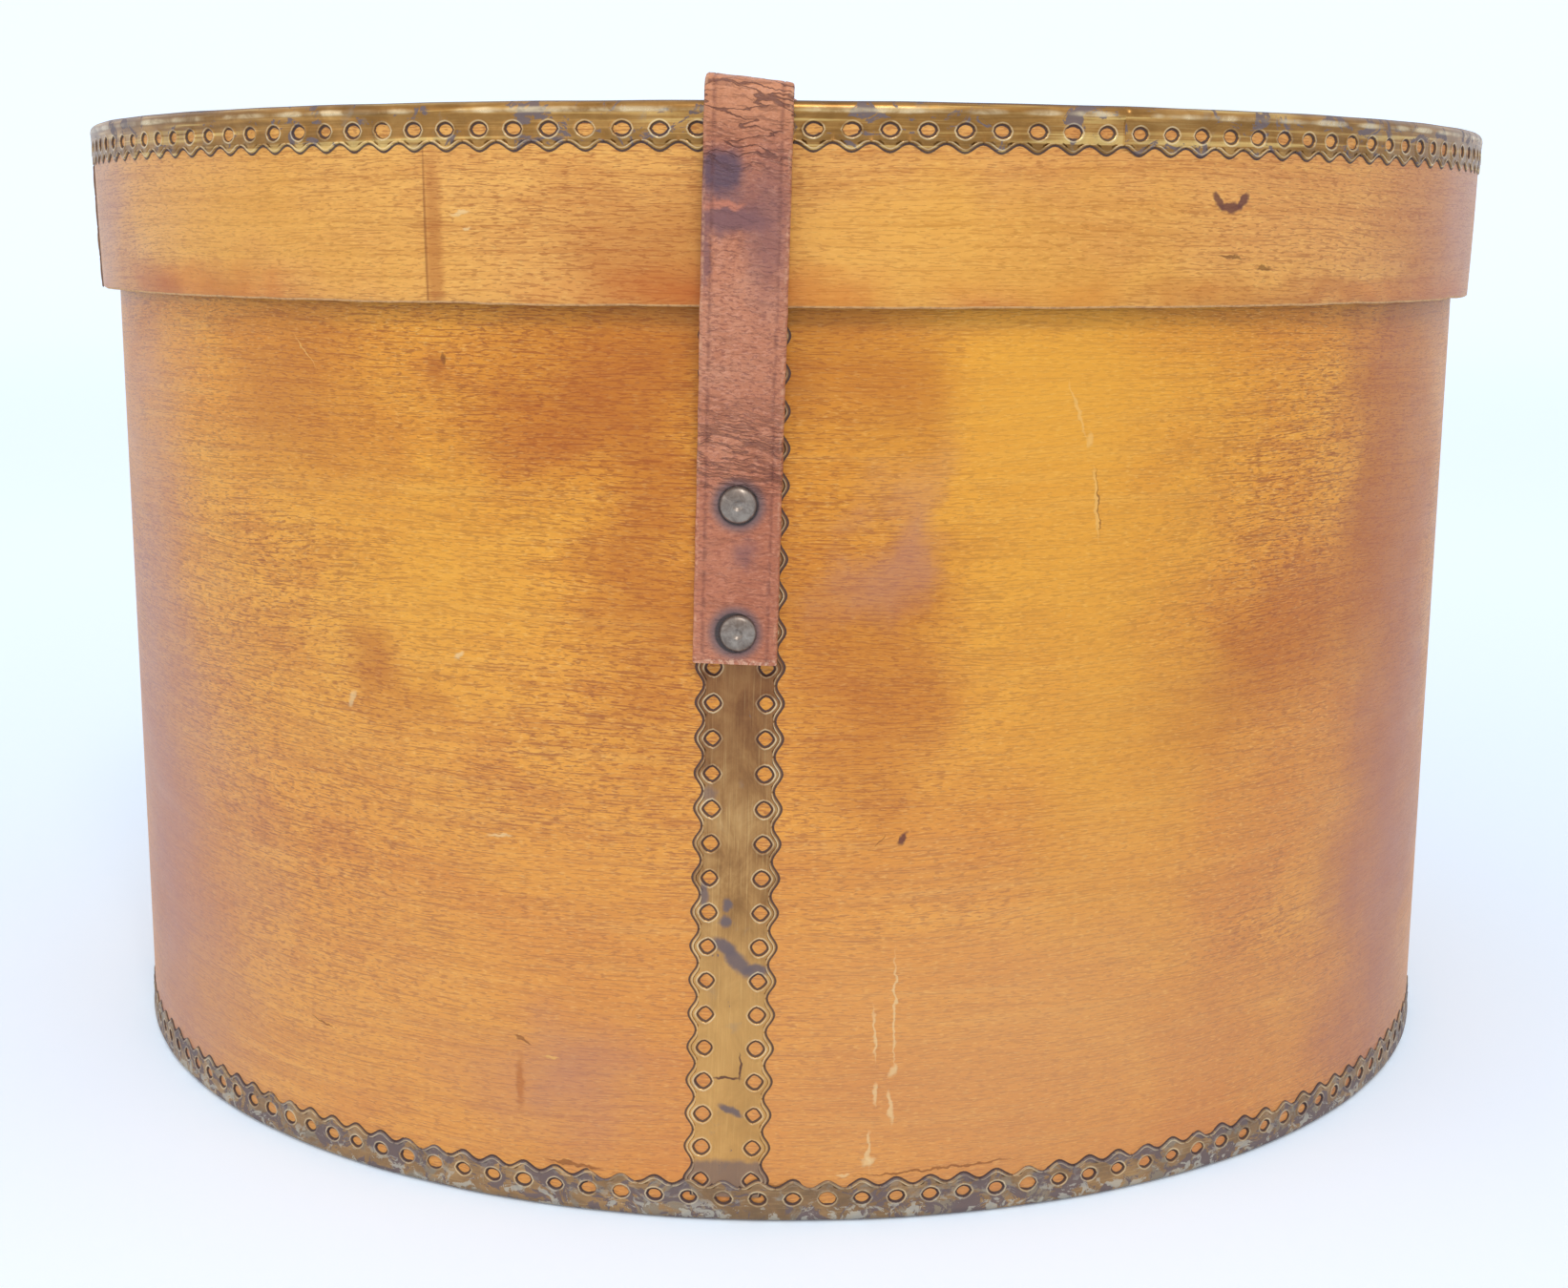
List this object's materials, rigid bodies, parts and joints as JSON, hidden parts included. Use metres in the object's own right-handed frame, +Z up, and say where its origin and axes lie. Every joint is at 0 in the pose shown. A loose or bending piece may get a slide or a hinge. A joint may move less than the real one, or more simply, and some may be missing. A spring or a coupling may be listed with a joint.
{
  "type": "hat box",
  "caption": "Round bentwood hat box with a lift-off lid, punched metal edging and seam strips, and a two-part leather strap with a buckle.",
  "frame": {"origin": "centre of the box's footprint, on the surface that it stands on", "axes": "+Z up through the lid; -Y is the front, where the wall seam, its metal strip and the riveted strap end are; +X to the right seen from the front"},
  "size_m": [0.3797, 0.3905, 0.2527],
  "materials": {
    "body_wall": "satin varnished plywood, honey amber",
    "base_disc": "plywood board, thinly varnished",
    "base_band": "dull plated steel, corroded grey-brown",
    "base_brads": "plain steel brads",
    "body_seam_strip": "brushed brass-coloured strip with brown patina",
    "strap_front_anchor": "worn reddish-brown leather",
    "front_rivet_upper": "tarnished grey-brown metal",
    "front_rivet_lower": "tarnished grey-brown metal",
    "front_rivet_washers": "dull metal",
    "strap_rear_anchor": "worn reddish-brown leather",
    "rear_rivet_upper": "tarnished grey-brown metal",
    "rear_rivet_lower": "tarnished grey-brown metal",
    "rear_rivet_washers": "dull metal",
    "lid_wall": "satin varnished plywood, honey amber",
    "lid_disc": "satin varnished plywood, honey amber",
    "lid_rim_band": "brass-coloured band, patina and rust spots",
    "lid_seam_strip": "brushed brass-coloured strip with brown patina",
    "lid_brads": "plain steel brads",
    "strap_front_leg": "worn reddish-brown leather",
    "strap_front_run": "worn reddish-brown leather",
    "strap_rear_leg": "worn reddish-brown leather",
    "strap_rear_run": "worn reddish-brown leather",
    "keeper_loop": "worn reddish-brown leather",
    "chape_rivets": "tarnished grey-brown metal",
    "buckle_frame": "cast brass, worn",
    "buckle_prong": "brass, worn"
  },
  "bodies": {
    "box": {"body_wall": "body_wall", "base_disc": "base_disc", "base_band": "base_band", "base_brads": "base_brads", "body_seam_strip": "body_seam_strip", "strap_front_anchor": "strap_front_anchor", "front_rivet_upper": "front_rivet_upper", "front_rivet_lower": "front_rivet_lower", "front_rivet_washers": "front_rivet_washers", "strap_rear_anchor": "strap_rear_anchor", "rear_rivet_upper": "rear_rivet_upper", "rear_rivet_lower": "rear_rivet_lower", "rear_rivet_washers": "rear_rivet_washers"},
    "lid": {"lid_wall": "lid_wall", "lid_disc": "lid_disc", "lid_rim_band": "lid_rim_band", "lid_seam_strip": "lid_seam_strip", "lid_brads": "lid_brads"},
    "front_leg": {"strap_front_leg": "strap_front_leg"},
    "front_run": {"strap_front_run": "strap_front_run"},
    "rear_leg": {"strap_rear_leg": "strap_rear_leg"},
    "rear_run": {"strap_rear_run": "strap_rear_run", "keeper_loop": "keeper_loop", "chape_rivets": "chape_rivets"},
    "buckle": {"buckle_frame": "buckle_frame"},
    "prong": {"buckle_prong": "buckle_prong"}
  },
  "joints": [
    {"name": "lid_lift", "type": "slide", "parent": "box", "child": "lid", "axis": [0, 0, 1], "range_m": [0, 0.045]},
    {"name": "front_strap_swing", "type": "hinge", "parent": "box", "child": "front_leg", "pos_m": [0, -0.1863, 0.1667], "axis": [1, 0, 0], "range_deg": [0, 76]},
    {"name": "front_strap_fold", "type": "hinge", "parent": "front_leg", "child": "front_run", "pos_m": [0, -0.1933, 0.2436], "axis": [0.9925, -0.1219, 0], "range_deg": [0, 141]},
    {"name": "rear_strap_swing", "type": "hinge", "parent": "box", "child": "rear_leg", "pos_m": [0, 0.1857, 0.1667], "axis": [-1, 0, 0], "range_deg": [0, 76]},
    {"name": "rear_strap_fold", "type": "hinge", "parent": "rear_leg", "child": "rear_run", "pos_m": [0, 0.1933, 0.2436], "axis": [-1, 0, 0], "range_deg": [0, 141]},
    {"name": "buckle_turn", "type": "hinge", "parent": "rear_run", "child": "buckle", "pos_m": [0, 0.045, 0.2471], "axis": [-1, 0, 0], "range_deg": [0, 50]},
    {"name": "prong_turn", "type": "hinge", "parent": "buckle", "child": "prong", "pos_m": [0, 0.045, 0.2471], "axis": [-1, 0, 0], "range_deg": [0, 90]}
  ],
  "couplings": [
    {"joint": "front_strap_swing", "follows": "lid_lift", "rad_per_m": 29.089},
    {"joint": "front_strap_fold", "follows": "lid_lift", "rad_per_m": 54.299},
    {"joint": "rear_strap_swing", "follows": "lid_lift", "rad_per_m": 29.089},
    {"joint": "rear_strap_fold", "follows": "lid_lift", "rad_per_m": 54.299}
  ]
}
